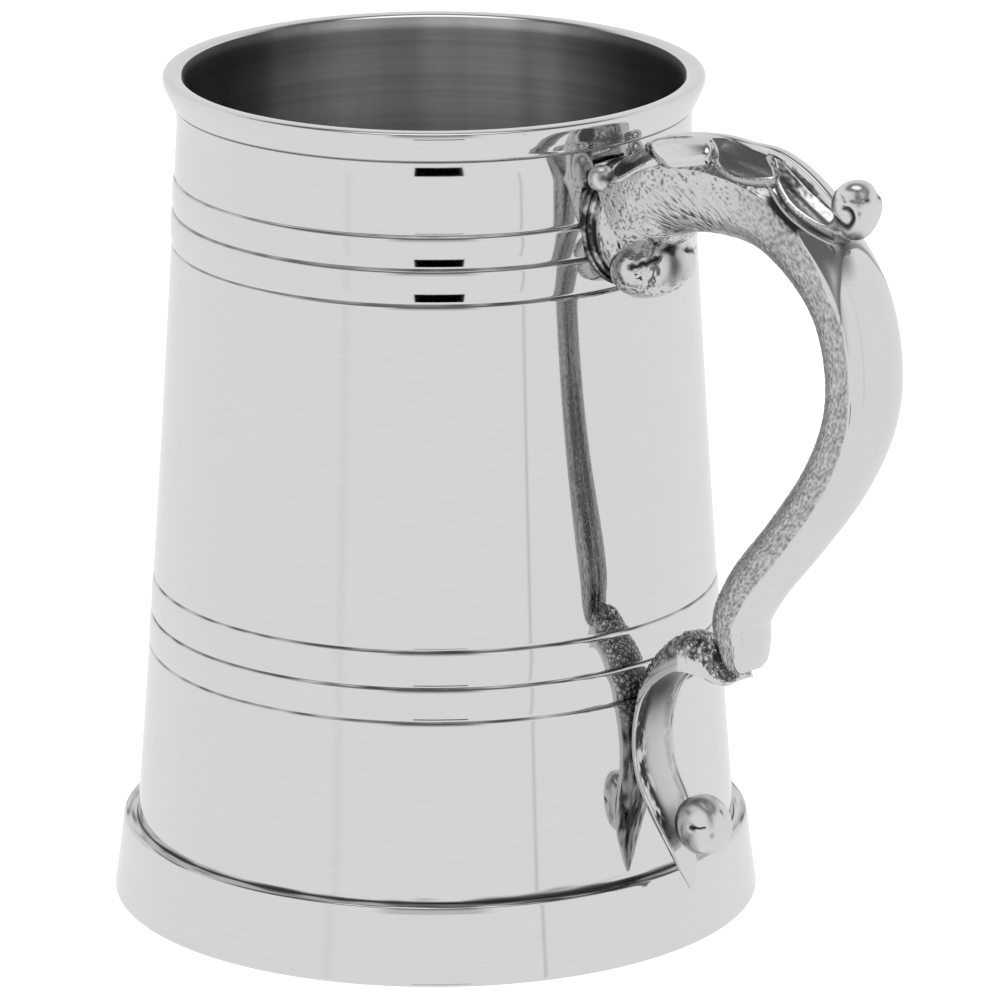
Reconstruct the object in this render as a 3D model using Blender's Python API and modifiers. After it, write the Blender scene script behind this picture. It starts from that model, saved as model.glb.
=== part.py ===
"""Pewter tankard of one pint, without a lid: a spun drum on a foot skirt, with a cast S-scroll handle.

Lengths are in millimetres until they meet the mesh, where MM turns them into metres. Heights are above the
table. Radii are from the drum's axis, which stands at x = DRUM_AXIS_X. The handle lies in the plane y = 0
on the +X side, and "out" of a handle section points away from the finger gap.
"""

from math import cos, pi, radians, sin, sqrt

import bmesh
import bpy
from mathutils import Matrix, Vector

MM = 0.001
FIT_GAP = 0.3  # between soldered neighbours

# drum, foot and lip
FOOT_RADIUS = 49.0
DRUM_AXIS_X = -20.6
DRUM_WALL = 1.4
DRUM_BOTTOM = 9.0
DRUM_TOP = 121.2
WALL_LINE = [  # outer radius of the plain wall at a few heights, top to bottom
    (121.2, 38.45),
    (120.4, 38.15),
    (118.6, 38.15),
    (111.4, 38.8),
    (101.0, 39.4),
    (76.0, 40.9),
    (49.8, 42.5),
    (39.1, 43.3),
    (24.0, 44.6),
    (12.0, 45.4),
    (9.0, 45.45),
]
UPPER_GROOVES = [111.4, 106.4, 101.2]
LOWER_GROOVES = [49.8, 44.2, 39.1]
GROOVE_WIDTH = 0.7
GROOVE_DEPTH = 0.25
BAND_BULGE = 0.22  # how far the bands between two grooves swell
LIP_HEIGHT = 127.2
SKIRT_HEIGHT = 12.0
BASE_TOP = 11.6
BASE_THICKNESS = 1.6
BASE_DOME = 1.2  # rise of the base at its middle
TURNED_SEGMENTS = 64
SHARP_ANGLE = 35.0  # degrees between faces that stay a sharp edge

# handle: (radius, height, out, in, half width) of the sections at the control points
HANDLE_SECTIONS = [
    (41.6, 115.5, 5.2, 6.2, 6.9),
    (50.0, 118.5, 5.6, 7.0, 7.0),
    (60.0, 120.0, 5.6, 7.2, 7.0),
    (70.0, 118.4, 5.2, 6.7, 6.6),
    (78.0, 113.0, 4.9, 6.0, 6.2),
    (83.4, 106.0, 4.8, 5.4, 6.0),
    (85.6, 97.0, 4.7, 4.7, 6.0),
    (84.8, 88.5, 4.6, 4.6, 5.8),
    (80.5, 79.5, 4.4, 4.4, 5.5),
    (73.5, 70.2, 4.2, 4.2, 5.2),
    (66.4, 61.8, 4.1, 4.1, 5.0),
    (63.0, 55.6, 4.0, 3.9, 4.9),
    (63.6, 51.4, 3.6, 2.8, 4.6),
    (64.7, 48.9, 2.7, 1.8, 3.8),
    (65.0, 48.3, 1.6, 1.0, 2.6),
]
SECTION_POWER = 2.4  # 2 is an ellipse, more is squarer
SHELL_WALL = 1.7
STEPS_PER_SPAN = 3
SHELL_POINTS = 9

# leaf on the shoulder of the handle: spans of the handle's control points, and its scallops
LEAF_START = 0.35
LEAF_END = 4.25
LEAF_THICKNESS = 1.1
LEAF_EDGE_THICKNESS = 0.5
LEAF_REACH = [28.0, 44.0, 62.0, 50.0, 66.0, 70.0, 54.0, 72.0, 78.0, 74.0, 50.0]
LEAF_POINTS = 9
LEAF_STATIONS = 24

# joint pad, volute, curl, beads
PAD_CENTRE_HEIGHT = 111.0
PAD_HALF_HEIGHT = 9.4
PAD_HALF_WIDTH = 8.3
PAD_FACE_RADIUS = 41.2
VOLUTE = (44.2, 105.0, 4.4, 6.3)  # radius, height, ball radius, half width
CURL = (83.9, 121.3, 3.4, 3.4)
BEAD = (39.4, 118.8, 1.5, 1.5)
BEAD_OFFSET = 6.3

# lower scroll: (radius, height, half width, thickness, dish) along its outer face
SCROLL_SECTIONS = [
    (66.8, 46.8, 2.2, 0.8, 0.0),
    (62.5, 45.9, 3.9, 1.5, 0.1),
    (58.6, 46.2, 4.3, 3.4, 0.4),
    (54.4, 46.0, 4.4, 4.3, 0.7),
    (50.6, 44.2, 4.4, 3.6, 0.8),
    (47.5, 40.6, 4.4, 2.6, 0.8),
    (45.7, 36.0, 4.4, 1.7, 0.8),
    (45.5, 31.5, 4.4, 1.3, 0.7),
    (46.9, 26.5, 4.4, 1.4, 0.6),
    (49.6, 21.8, 4.2, 1.6, 0.4),
    (51.8, 16.6, 2.6, 1.3, 0.1),
    (53.4, 11.6, 0.5, 0.6, 0.0),
]
SCROLL_POINTS = 7
BOSS = (54.1, 22.0, 4.1, 3.9)


def clear_scene():
    for obj in list(bpy.data.objects):
        bpy.data.objects.remove(obj, do_unlink=True)


def make_collection(name):
    collection = bpy.data.collections.new(name)
    bpy.context.scene.collection.children.link(collection)
    return collection


def make_material(name, colour, roughness):
    material = bpy.data.materials.new(name)
    material.use_nodes = True
    shader = material.node_tree.nodes["Principled BSDF"]
    shader.inputs["Base Color"].default_value = (*colour, 1.0)
    shader.inputs["Metallic"].default_value = 1.0
    shader.inputs["Roughness"].default_value = roughness
    return material


def add_object(name, mesh, material, collection):
    mesh.materials.append(material)
    mesh.shade_smooth()
    mesh.set_sharp_from_angle(angle=radians(SHARP_ANGLE))
    obj = bpy.data.objects.new(name, mesh)
    obj.location = (DRUM_AXIS_X * MM, 0.0, 0.0)
    collection.objects.link(obj)
    return obj


def smooth_curve(rows, steps):
    """Rows of numbers joined by a Catmull-Rom curve, with steps points to each span."""
    points = [Vector(row) for row in rows]
    first = points[0] * 2 - points[1]
    last = points[-1] * 2 - points[-2]
    padded = [first, *points, last]
    curve = []
    for span in range(len(points) - 1):
        a, b, c, d = padded[span : span + 4]
        for step in range(steps):
            t = step / steps
            curve.append(
                0.5
                * (
                    2 * b
                    + (c - a) * t
                    + (2 * a - 5 * b + 4 * c - d) * t * t
                    + (3 * b - a - 3 * c + d) * t * t * t
                )
            )
    curve.append(points[-1])
    return curve


def outward_normals(line):
    """The unit normals of a line in the plane of the handle, on its left as it runs away from the drum."""
    normals = []
    for index in range(len(line)):
        before = line[max(index - 1, 0)]
        after = line[min(index + 1, len(line) - 1)]
        along = (after - before).normalized()
        normals.append(Vector((-along.y, along.x)))
    return normals


def loft(name, stations, material, collection):
    """A closed body through stations, each a pair of rows of points that face each other."""
    body = bmesh.new()
    rows = [
        ([body.verts.new(p * MM) for p in upper], [body.verts.new(p * MM) for p in lower])
        for upper, lower in stations
    ]
    count = len(rows[0][0])
    for (upper, lower), (next_upper, next_lower) in zip(rows, rows[1:]):
        for k in range(count - 1):
            body.faces.new((upper[k], upper[k + 1], next_upper[k + 1], next_upper[k]))
            body.faces.new((lower[k + 1], lower[k], next_lower[k], next_lower[k + 1]))
        body.faces.new((lower[0], upper[0], next_upper[0], next_lower[0]))
        body.faces.new((upper[-1], lower[-1], next_lower[-1], next_upper[-1]))
    for upper, lower in (rows[0], rows[-1]):
        for k in range(count - 1):
            body.faces.new((upper[k], upper[k + 1], lower[k + 1], lower[k]))
    bmesh.ops.recalc_face_normals(body, faces=body.faces)
    mesh = bpy.data.meshes.new(name)
    body.to_mesh(mesh)
    body.free()
    return add_object(name, mesh, material, collection)


def turned(name, profile, material, collection, closed=True):
    """A body turned about the drum's axis from (radius, height) points that run down its outer side."""
    mesh = bpy.data.meshes.new(name)
    count = len(profile)
    edges = [(k, k + 1) for k in range(count - 1)]
    if closed:
        edges.append((count - 1, 0))
    mesh.from_pydata([(r * MM, 0.0, z * MM) for r, z in profile], edges, [])
    obj = add_object(name, mesh, material, collection)
    screw = obj.modifiers.new("turn", "SCREW")
    screw.axis = "Z"
    screw.angle = 2 * pi
    screw.steps = TURNED_SEGMENTS
    screw.render_steps = TURNED_SEGMENTS
    screw.use_merge_vertices = True
    screw.merge_threshold = 0.00001
    screw.use_smooth_shade = True
    return obj


def ball(name, place, across, material, collection, grow=0.0):
    """An ellipsoid lying across the handle's plane, with its middle at y = across."""
    radius, height, size, half_width = place
    body = bmesh.new()
    bmesh.ops.create_uvsphere(body, u_segments=16, v_segments=10, radius=1.0)
    turn = Matrix.Rotation(radians(90.0), 3, "X")
    for vert in body.verts:
        point = turn @ vert.co
        vert.co = (
            (radius + point.x * (size + grow)) * MM,
            (across + point.y * (half_width + grow)) * MM,
            (height + point.z * (size + grow)) * MM,
        )
    mesh = bpy.data.meshes.new(name)
    body.to_mesh(mesh)
    body.free()
    return add_object(name, mesh, material, collection)


def cut(obj, cutter):
    boolean = obj.modifiers.new("cut " + cutter.name, "BOOLEAN")
    boolean.operation = "DIFFERENCE"
    boolean.solver = "EXACT"
    boolean.object = cutter


def wall_radius(height):
    """Outer radius of the plain wall at this height."""
    for (z_high, r_high), (z_low, r_low) in zip(WALL_LINE, WALL_LINE[1:]):
        if z_low <= height <= z_high:
            share = (height - z_low) / (z_high - z_low)
            return r_low + (r_high - r_low) * share
    raise ValueError("height off the wall")


def grooved_stretch(grooves):
    """Outer profile of three turned grooves with a swelling band between each two."""
    half = GROOVE_WIDTH / 2
    points = []
    for index, height in enumerate(grooves):
        points.append((wall_radius(height + half), height + half))
        points.append((wall_radius(height) - GROOVE_DEPTH, height))
        points.append((wall_radius(height - half), height - half))
        if index + 1 == len(grooves):
            break
        top = height - half
        bottom = grooves[index + 1] + half
        for share in (0.2, 0.5, 0.8):
            z = top + (bottom - top) * share
            points.append((wall_radius(z) + BAND_BULGE * sin(pi * share), z))
    return points


def drum_outline():
    plain_top = [(r, z) for z, r in WALL_LINE if z > UPPER_GROOVES[0] + 1]
    middle = [(wall_radius(76.0), 76.0)]
    foot_end = [(r, z) for z, r in WALL_LINE if z < LOWER_GROOVES[-1] - 1]
    return (
        plain_top
        + grooved_stretch(UPPER_GROOVES)
        + middle
        + grooved_stretch(LOWER_GROOVES)
        + foot_end
    )


def make_drum(material, collection):
    inner_heights = [DRUM_BOTTOM, 24.0, 76.0, 118.6, DRUM_TOP]
    inner = [(wall_radius(z) - DRUM_WALL, z) for z in inner_heights]
    turned("drum", drum_outline() + inner, material, collection)


def make_lip(material, collection):
    profile = [
        (39.1, LIP_HEIGHT),
        (39.9, 127.0),
        (40.4, 126.5),
        (40.4, 126.0),
        (39.6, 124.2),
        (38.7, 122.3),
        (38.4, DRUM_TOP + FIT_GAP),
        (37.0, DRUM_TOP + FIT_GAP),
        (36.9, 123.5),
        (37.2, 126.0),
        (37.6, 126.7),
        (38.3, 127.1),
    ]
    turned("lip_ring", profile, material, collection)


def make_skirt(material, collection):
    ledge_inner = wall_radius(SKIRT_HEIGHT) + FIT_GAP
    profile = [
        (ledge_inner, SKIRT_HEIGHT),
        (46.9, SKIRT_HEIGHT - 0.1),
        (47.3, SKIRT_HEIGHT - 0.5),
        (47.5, SKIRT_HEIGHT - 1.1),
        (48.25, 5.5),
        (FOOT_RADIUS, 0.6),
        (48.8, 0.15),
        (48.5, 0.0),
        (46.1, 0.0),
        (46.1, 1.4),
        (46.9, 2.4),
        (46.0, 10.3),
        (ledge_inner, 10.6),
    ]
    turned("foot_skirt", profile, material, collection)


def make_base(material, collection):
    reach = wall_radius(BASE_TOP) - DRUM_WALL - FIT_GAP
    under = BASE_TOP - BASE_THICKNESS
    profile = [
        (0.0, BASE_TOP + BASE_DOME),
        (reach * 0.6, BASE_TOP + BASE_DOME * 0.6),
        (reach * 0.92, BASE_TOP),
        (reach, BASE_TOP),
        (reach, under),
        (reach * 0.92, under),
        (reach * 0.6, under + BASE_DOME * 0.6),
        (0.0, under + BASE_DOME),
    ]
    turned("base_disc", profile, material, collection, closed=False)


def superellipse(angle, out, inward, half_width):
    """(out, across) of a point on a handle section, with the angle from its outward side."""
    power = 2 / SECTION_POWER
    c = cos(angle)
    s = sin(angle)
    depth = out if c >= 0 else inward
    return (
        depth * abs(c) ** power * (1 if c >= 0 else -1),
        half_width * abs(s) ** power * (1 if s >= 0 else -1),
    )


def place_section(point, normal, out, across):
    return Vector((point.x + normal.x * out, across, point.y + normal.y * out))


def handle_frames():
    curve = smooth_curve(HANDLE_SECTIONS, STEPS_PER_SPAN)
    line = [Vector((row[0], row[1])) for row in curve]
    normals = outward_normals(line)
    normals[0] = Vector((0.0, 1.0))  # the first section stands square on the joint pad
    return curve, line, normals


def make_handle_shell(name, side, material, collection):
    """One cast half of the hollow scroll. Side is -1 or 1, and the halves meet on y = 0."""
    curve, line, normals = handle_frames()
    seam = FIT_GAP / 2
    stations = []
    for row, point, normal in zip(curve, line, normals):
        out, inward, half_width = row[2], row[3], row[4]
        wall = min(SHELL_WALL, 0.55 * min(out, inward, half_width))
        outer = []
        inner = []
        for k in range(SHELL_POINTS):
            angle = pi * k / (SHELL_POINTS - 1)
            a, w = superellipse(angle, out, inward, half_width)
            outer.append(place_section(point, normal, a, side * max(w, seam)))
            a, w = superellipse(angle, out - wall, inward - wall, half_width - wall)
            inner.append(place_section(point, normal, a, side * max(w, seam)))
        stations.append((outer, inner))
    loft(name, stations, material, collection)


def leaf_reach(share):
    """Half angle that the leaf wraps round the handle, in radians, at this share of its length."""
    place = share * (len(LEAF_REACH) - 1)
    low = min(int(place), len(LEAF_REACH) - 2)
    return radians(LEAF_REACH[low] + (LEAF_REACH[low + 1] - LEAF_REACH[low]) * (place - low))


def make_leaf(material, collection):
    fine = smooth_curve(HANDLE_SECTIONS, 20)
    line = [Vector((row[0], row[1])) for row in fine]
    normals = outward_normals(line)
    stations = []
    for index in range(LEAF_STATIONS + 1):
        share = index / LEAF_STATIONS
        at = round((LEAF_START + (LEAF_END - LEAF_START) * share) * 20)
        row, point, normal = fine[at], line[at], normals[at]
        reach = leaf_reach(share)
        upper = []
        lower = []
        for k in range(LEAF_POINTS):
            turn = 2 * k / (LEAF_POINTS - 1) - 1
            angle = reach * turn
            thickness = LEAF_THICKNESS + (LEAF_EDGE_THICKNESS - LEAF_THICKNESS) * turn * turn
            gap = FIT_GAP * 1.4
            low = superellipse(angle, row[2] + gap, row[3] + gap, row[4] + gap)
            grow = gap + thickness
            high = superellipse(angle, row[2] + grow, row[3] + grow, row[4] + grow)
            lower.append(place_section(point, normal, *low))
            upper.append(place_section(point, normal, *high))
        stations.append((upper, lower))
    loft("thumb_leaf", stations, material, collection)


def make_lower_scroll(material, collection):
    """The strap under the heel of the handle, which runs down the drum and ends in a pointed tail."""
    curve = smooth_curve(SCROLL_SECTIONS, STEPS_PER_SPAN)
    line = [Vector((row[0], row[1])) for row in curve]
    normals = outward_normals(line)
    stations = []
    for row, point, normal in zip(curve, line, normals):
        half_width, thickness, dish = row[2], row[3], row[4]
        face = []
        back = []
        for k in range(SCROLL_POINTS):
            turn = 2 * k / (SCROLL_POINTS - 1) - 1
            across = half_width * turn
            hollow = dish * (1 - turn * turn)
            swell = 0.35 + 0.65 * sqrt(max(1 - turn * turn, 0.0))
            face.append(place_section(point, normal, -hollow, across))
            back.append(place_section(point, normal, -(hollow + thickness * swell), across))
        stations.append((face, back))
    return loft("lower_scroll", stations, material, collection)


def make_pad(material, collection):
    """The oval pad by which the handle's upper end is soldered to the drum."""
    depth = 8.0
    body = bmesh.new()
    bmesh.ops.create_cone(
        body, cap_ends=True, segments=36, radius1=1.0, radius2=0.88, depth=1.0
    )
    turn = Matrix.Rotation(radians(90.0), 3, "Y")
    for vert in body.verts:
        point = turn @ vert.co
        vert.co = (
            (PAD_FACE_RADIUS + (point.x - 0.5) * depth) * MM,
            point.y * PAD_HALF_WIDTH * MM,
            (PAD_CENTRE_HEIGHT + point.z * PAD_HALF_HEIGHT) * MM,
        )
    bmesh.ops.recalc_face_normals(body, faces=body.faces)
    mesh = bpy.data.meshes.new("joint_pad")
    body.to_mesh(mesh)
    body.free()
    return add_object("joint_pad", mesh, material, collection)


def make_drum_clearance(material, collection):
    """A solid drum, one gap larger than the real one, that trims whatever is soldered to it."""
    outline = [(r + FIT_GAP, z) for r, z in drum_outline()]
    above = LIP_HEIGHT
    profile = [(0.0, above), (outline[0][0], above), *outline, (0.0, DRUM_BOTTOM)]
    return turned("drum_clearance", profile, material, collection, closed=False)


def build():
    clear_scene()
    tankard = make_collection("pewter_tankard")
    cutters = make_collection("cutters")
    cutters.hide_render = True
    polished = make_material("pewter_polished", (0.76, 0.76, 0.75), 0.12)
    spun = make_material("pewter_spun", (0.62, 0.62, 0.61), 0.35)
    cast = make_material("pewter_cast", (0.58, 0.58, 0.57), 0.45)

    make_drum(polished, tankard)
    make_lip(polished, tankard)
    make_skirt(polished, tankard)
    make_base(spun, tankard)
    make_handle_shell("handle_shell_left", 1, cast, tankard)
    make_handle_shell("handle_shell_right", -1, cast, tankard)
    make_leaf(polished, tankard)
    ball("upper_volute", VOLUTE, 0.0, polished, tankard)
    ball("thumb_curl", CURL, 0.0, polished, tankard)
    ball("root_bead_left", BEAD, BEAD_OFFSET, polished, tankard)
    ball("root_bead_right", BEAD, -BEAD_OFFSET, polished, tankard)
    ball("scroll_boss", BOSS, 0.0, polished, tankard)
    scroll = make_lower_scroll(cast, tankard)
    pad = make_pad(cast, tankard)

    drum_clearance = make_drum_clearance(cast, cutters)
    volute_clearance = ball("volute_clearance", VOLUTE, 0.0, cast, cutters, grow=FIT_GAP)
    for cutter in (drum_clearance, volute_clearance):
        cutter.hide_render = True
        cutter.display_type = "WIRE"
    cut(pad, drum_clearance)
    cut(pad, volute_clearance)
    cut(scroll, drum_clearance)


build()
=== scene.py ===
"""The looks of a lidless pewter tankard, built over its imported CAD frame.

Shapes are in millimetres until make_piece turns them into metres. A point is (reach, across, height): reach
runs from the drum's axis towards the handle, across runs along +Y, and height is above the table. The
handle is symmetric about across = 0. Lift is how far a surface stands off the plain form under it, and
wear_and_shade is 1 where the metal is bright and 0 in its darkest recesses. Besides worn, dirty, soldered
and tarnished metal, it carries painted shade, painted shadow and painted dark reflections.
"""

from math import cos, pi, radians, sin

import bpy
import numpy as np
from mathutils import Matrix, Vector, noise


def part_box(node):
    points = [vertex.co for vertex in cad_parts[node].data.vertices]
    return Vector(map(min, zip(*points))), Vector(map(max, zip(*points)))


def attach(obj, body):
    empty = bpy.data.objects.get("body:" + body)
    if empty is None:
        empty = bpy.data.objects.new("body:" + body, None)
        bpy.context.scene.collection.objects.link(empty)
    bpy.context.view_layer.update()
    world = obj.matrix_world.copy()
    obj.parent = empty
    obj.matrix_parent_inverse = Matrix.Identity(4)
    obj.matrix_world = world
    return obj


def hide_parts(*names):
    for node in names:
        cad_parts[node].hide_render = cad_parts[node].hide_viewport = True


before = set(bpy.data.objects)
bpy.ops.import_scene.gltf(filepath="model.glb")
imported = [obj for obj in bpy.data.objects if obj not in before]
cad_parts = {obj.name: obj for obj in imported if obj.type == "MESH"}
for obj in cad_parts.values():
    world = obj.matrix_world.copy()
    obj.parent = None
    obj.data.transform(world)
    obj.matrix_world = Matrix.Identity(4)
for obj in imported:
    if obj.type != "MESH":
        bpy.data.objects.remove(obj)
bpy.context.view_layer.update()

MM = 0.001
FOOT_LOW, FOOT_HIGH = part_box("foot_skirt")
AXIS_X = (FOOT_LOW.x + FOOT_HIGH.x) / 2
FOOT_RADIUS = (FOOT_HIGH.x - FOOT_LOW.x) / 2 / MM
LEDGE_HEIGHT = FOOT_HIGH.z / MM
LIP_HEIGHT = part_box("lip_ring")[1].z / MM
SEAM_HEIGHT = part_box("drum")[1].z / MM + 1.15  # where the lip meets the drum

# camera
CAMERA_AZIMUTH = radians(44.0)
CAMERA_ELEVATION = radians(16.23)
CAMERA_DISTANCE = 1.2074
CAMERA_LENS = 288.0
CAMERA_TARGET = Vector((-0.01355, 0.00681, 0.0606))

# light, as radiance
WHITE_LIGHT = 1.15
BACK_LIGHT = 0.95
ROOM_LIGHT_LOW = 0.8
ROOM_LIGHT_HIGH = 0.3
CEILING_LIGHT = 0.2
LAMP_LIGHT = 1.8
FLOOR_LIGHT = 0.62
FLAG_AZIMUTH = 2.6  # degrees to the camera's right, as the next two
SEAM_AZIMUTH = 38.8
FOLD_AZIMUTH = -37.8

# drum and foot
TURNED_SEGMENTS = 288
UPPER_GROOVES = [111.4, 106.4, 101.2]
LOWER_GROOVES = [49.8, 44.2, 39.1]
GROOVE_HALF_WIDTH = 0.42
GROOVE_DEPTH = 0.2
BAND_BULGE = 0.22
FLARE_START = 118.8
DRUM_WALL = 1.4
LIP_INSIDE = 37.6  # radius of the border of the lip's polish
DRUM_BOTTOM_RADIUS = 45.0
LIT_INSIDE_ANGLE = 134.0  # degrees from the handle to the middle of the lit stretch inside, left without painted shade
SOLDER_ANGLE = -18.0  # degrees from the handle to the middle of the widest solder at the foot
SOLDER_SPREAD = 20.0

# handle: (reach, height, out, in, half width) of its sections
HANDLE_SECTIONS = [
    (41.0, 114.6, 5.4, 9.2, 7.1),
    (45.6, 116.8, 5.4, 8.6, 7.05),
    (50.5, 118.7, 5.6, 7.4, 7.0),
    (60.0, 120.0, 5.6, 7.2, 7.0),
    (70.0, 118.4, 5.2, 6.7, 6.6),
    (78.0, 113.0, 4.9, 6.0, 6.2),
    (83.4, 106.0, 4.8, 5.4, 6.0),
    (85.6, 97.0, 4.7, 4.7, 6.0),
    (84.8, 88.5, 4.6, 4.6, 5.8),
    (80.5, 79.5, 4.4, 4.4, 5.5),
    (73.5, 70.2, 4.2, 4.2, 5.2),
    (66.4, 61.8, 4.1, 4.1, 5.0),
    (62.8, 55.6, 3.8, 3.8, 4.7),
    (63.0, 52.2, 3.3, 2.9, 4.4),
    (63.3, 49.8, 2.8, 2.2, 4.1),
    (63.7, 48.3, 2.1, 1.5, 3.5),
    (64.0, 47.5, 1.2, 0.9, 2.5),
]
SECTION_POWER = 2.4
BACK_EDGE = 71.0  # degrees from the middle of the back to the edge of its polish
BACK_EDGE_OUT = 0.54  # how far out that edge stands, as a share of the section's size
HANDLE_STEPS = 46
HANDLE_AROUND = 128
MM_PER_DEGREE = 0.12  # along the section, from the middle of the handle's back
LEAF_SPAN = (1.0, 42.5)  # where the leaf starts and ends, along the handle
LEAF_EDGE = 84.0  # degrees from the middle of the handle's back to the edge of the leaf
LEAF_STEPS = 66
LEAF_ACROSS = 141
PAD_HEIGHT = 110.9
PAD_AROUND = 200

# lower scroll: (reach, height, half width, thickness, dish) along its outer face
SCROLL_SECTIONS = [
    (63.2, 46.1, 1.6, 0.9, 0.0),
    (62.2, 45.7, 3.1, 1.2, 0.0),
    (60.5, 45.9, 4.0, 2.0, 0.1),
    (57.6, 46.4, 4.3, 4.4, 0.4),
    (54.0, 46.3, 4.4, 4.4, 0.7),
    (50.5, 44.5, 4.4, 3.4, 1.0),
    (47.3, 41.2, 4.4, 2.3, 1.1),
    (45.7, 37.0, 4.4, 1.4, 0.9),
    (45.3, 32.5, 4.4, 1.2, 0.8),
    (46.2, 28.0, 4.4, 1.3, 0.8),
    (48.8, 23.4, 4.3, 1.5, 0.6),
    (51.3, 18.5, 3.3, 1.4, 0.3),
    (52.7, 14.0, 1.6, 1.0, 0.0),
    (53.3, 11.5, 0.4, 0.5, 0.0),
]
SCROLL_STEPS = 26
SCROLL_ACROSS = 61
BOSS_DARK_RING = (54.6, 23.5, 4.2)  # reach, height and radius of the darker ring beside the boss

# rolled ends. drop lengthens the lower half.
CURL = {"reach": 84.0, "height": 121.2, "radius": 3.55, "half_width": 3.4, "squareness": 2.3, "drop": 1.6}
VOLUTE = {"reach": 44.6, "height": 105.4, "radius": 4.8, "half_width": 7.3, "squareness": 2.3}
BOSS = {"reach": 55.4, "height": 21.9, "radius": 4.5, "half_width": 3.2, "squareness": 2.6}
BEAD = {"reach": 40.2, "height": 118.6, "radius": 2.0, "half_width": 2.0, "squareness": 2.1}
BEAD_ACROSS = 6.3
ROLL_AROUND = 150
ROLL_ACROSS = 110


# ---------------------------------------------------------------- numbers


def smooth(value, low, high):
    """0 up to low, 1 from high on, and an S-curve between them."""
    share = np.clip((value - low) / (high - low), 0.0, 1.0)
    return share * share * (3.0 - 2.0 * share)


def bump(distance, width):
    return np.exp(-((distance / width) ** 2))


def curve_through(rows, steps, closed=False):
    """Rows of numbers joined by a Catmull-Rom curve, with steps points to each span."""
    rows = np.array(rows, float)
    if closed:
        padded = np.vstack([rows[-1], rows, rows[0], rows[1]])
        spans = len(rows)
    else:
        padded = np.vstack([2 * rows[0] - rows[1], rows, 2 * rows[-1] - rows[-2]])
        spans = len(rows) - 1
    t = np.arange(steps)[:, None] / steps
    pieces = []
    for k in range(spans):
        a, b, c, d = padded[k : k + 4]
        pieces.append(
            0.5
            * (
                2 * b
                + (c - a) * t
                + (2 * a - 5 * b + 4 * c - d) * t**2
                + (3 * b - a - 3 * c + d) * t**3
            )
        )
    if not closed:
        pieces.append(rows[-1:])
    return np.vstack(pieces)


def inside_distance(x, y, outline):
    """Distance from a closed outline at each (x, y), positive inside it."""
    shape = x.shape
    px, py = x.ravel(), y.ravel()
    nearest = np.full(px.size, 1e9)
    inside = np.zeros(px.size, bool)
    for (ax, ay), (bx, by) in zip(outline, np.roll(outline, -1, axis=0)):
        ex, ey = bx - ax, by - ay
        t = np.clip(((px - ax) * ex + (py - ay) * ey) / (ex * ex + ey * ey), 0, 1)
        nearest = np.minimum(nearest, np.hypot(px - ax - t * ex, py - ay - t * ey))
        if ay != by:
            crosses = ((ay > py) != (by > py)) & (px < ax + (py - ay) * ex / ey)
            inside ^= crosses
    return np.where(inside, nearest, -nearest).reshape(shape)


def line_distance(x, y, line):
    """Distance from an open line at each (x, y)."""
    nearest = np.full(x.shape, 1e9)
    for (ax, ay), (bx, by) in zip(line, line[1:]):
        ex, ey = bx - ax, by - ay
        t = np.clip(((x - ax) * ex + (y - ay) * ey) / (ex * ex + ey * ey), 0, 1)
        nearest = np.minimum(nearest, np.hypot(x - ax - t * ex, y - ay - t * ey))
    return nearest


def grid_normals(grid):
    """Unit normals of a grid of points, (stations, points across, 3)."""
    along = np.gradient(grid, axis=0)
    across = np.gradient(grid, axis=1)
    normals = np.cross(along, across)
    length = np.linalg.norm(normals, axis=2, keepdims=True)
    return normals / np.maximum(length, 1e-9)


def fine_noise(points, size):
    """Soft noise from -1 to 1 with lumps of about this size, at an array of points."""
    flat = (points / size).reshape(-1, 3)
    values = [noise.noise(Vector(p)) for p in flat]
    return np.array(values).reshape(points.shape[:-1])


def grains(points, size):
    """0 on the borders between irregular grains of about this size, rising to 1 in their middles."""
    flat = (points / size).reshape(-1, 3)
    values = []
    for p in flat:
        near = noise.voronoi(Vector(p))[0]
        values.append(near[1] - near[0])
    return smooth(np.array(values).reshape(points.shape[:-1]), 0.0, 0.45)


# ---------------------------------------------------------------- meshes


def make_piece(name, points, faces, material, slot, nodes, wear_and_shade, sharp):
    """A piece that stands for CAD nodes, with a wear_and_shade value for each point. Edges over sharp
    degrees stay crisp.
    """
    mesh = bpy.data.meshes.new(name)
    placed = np.array(points, float) * MM
    placed[:, 0] += AXIS_X
    mesh.from_pydata(placed.tolist(), [], faces)
    layer = mesh.attributes.new("wear_and_shade", "FLOAT", "POINT")
    layer.data.foreach_set("value", np.array(wear_and_shade, np.float32))
    mesh.validate()
    mesh.shade_smooth()
    mesh.set_sharp_from_angle(angle=radians(sharp))
    mesh.materials.append(material)
    obj = bpy.data.objects.new(name, mesh)
    bpy.context.scene.collection.objects.link(obj)
    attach(obj, "root")
    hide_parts(*nodes)
    return obj


def ring_faces(stations, count, join_ends=False):
    """Quads between each closed ring of points and the next."""
    index = np.arange(stations * count).reshape(stations, count)
    here = index if join_ends else index[:-1]
    there = np.roll(index, -1, axis=0) if join_ends else index[1:]
    corners = [here, np.roll(here, -1, axis=1), np.roll(there, -1, axis=1), there]
    return np.stack(corners, axis=2).reshape(-1, 4).tolist()


def outward(points, faces):
    """The faces, turned round if they enclose a negative volume."""
    corners = np.array([face[:3] + face[-1:] for face in faces])
    a, b, c, d = (points[corners[:, k]] for k in range(4))
    volume = np.sum(a * np.cross(b, c)) + np.sum(a * np.cross(c, d))
    return faces if volume > 0 else [face[::-1] for face in faces]


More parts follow.
